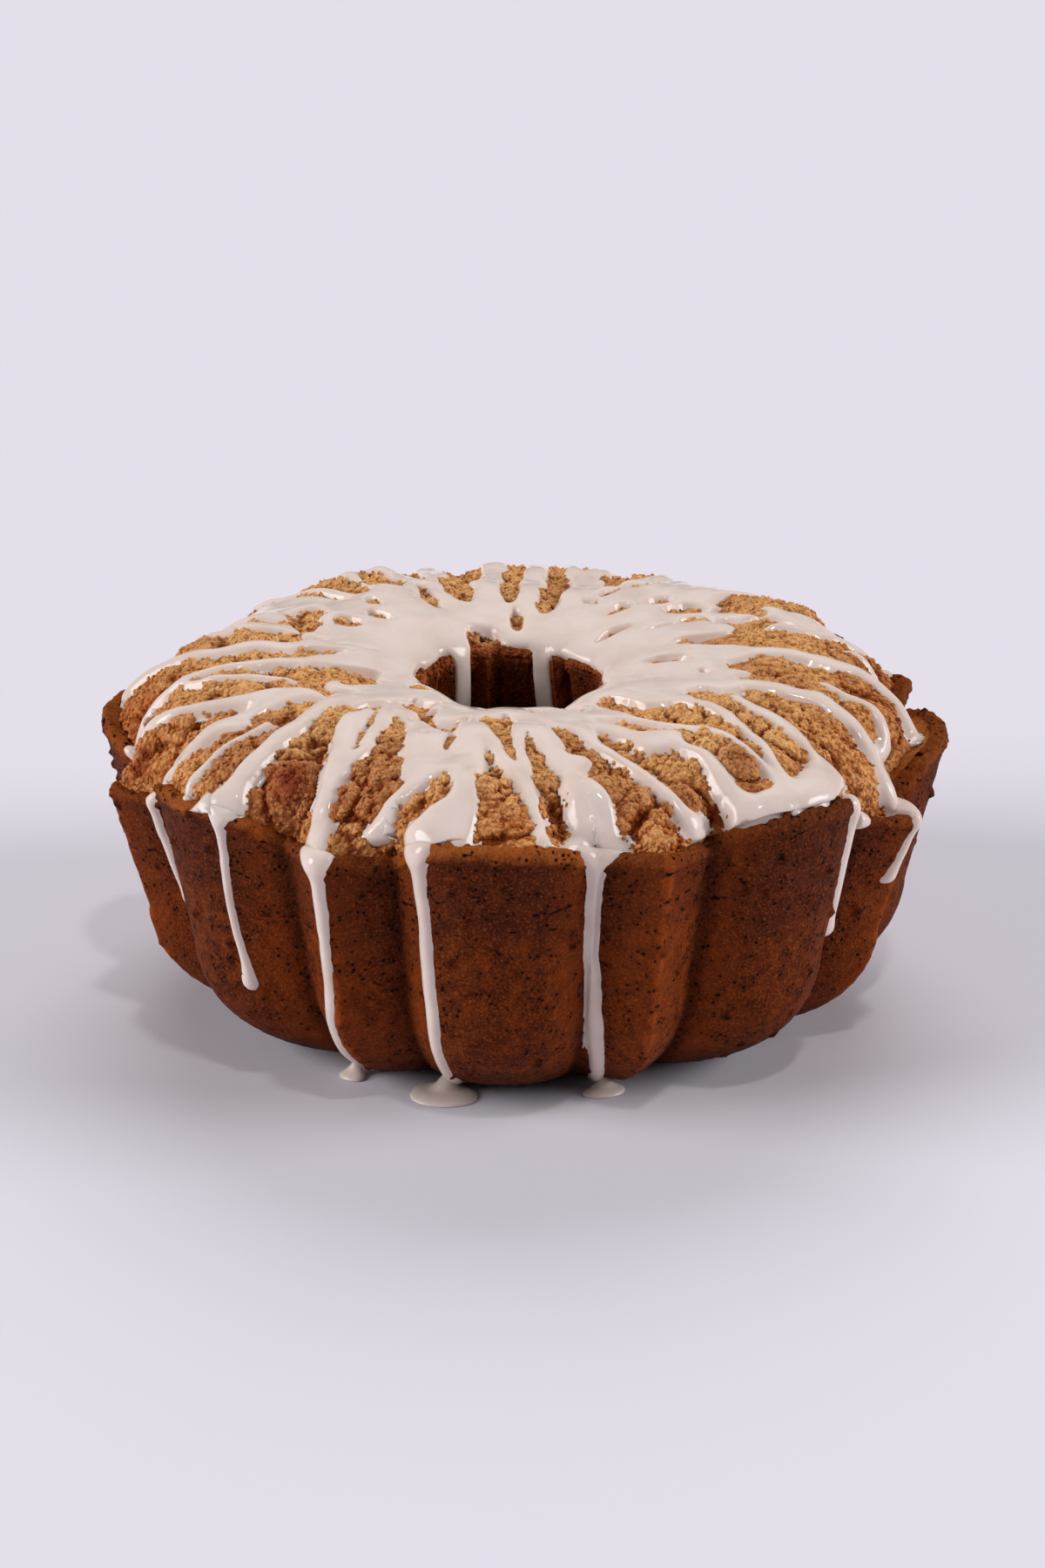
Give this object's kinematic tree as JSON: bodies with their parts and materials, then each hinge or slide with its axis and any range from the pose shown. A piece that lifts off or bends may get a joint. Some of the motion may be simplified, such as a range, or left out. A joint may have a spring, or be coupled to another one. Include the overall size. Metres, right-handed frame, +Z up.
{
  "type": "fluted ring pound cake",
  "caption": "Fluted ring cake with a domed crumbly top, a hole through its middle and pale glaze drizzled over it.",
  "frame": {"origin": "on the table under the middle of the hole", "axes": "+Z up through the hole; -Y is the front that the picture shows, with the long drips of glaze"},
  "size_m": [0.2464, 0.2464, 0.1018],
  "materials": {
    "moulded_crust": "baked brown crust moulded by a pan, finely pored, satin with a dry sheen",
    "crumb_top": "golden baked crumb, rough and granular, with cracks and lumps",
    "vanilla_glaze": "set sugar glaze, glossy and slightly translucent, pale pinkish cream"
  },
  "bodies": {
    "root": {"cake": "moulded_crust"}
  },
  "joints": []
}
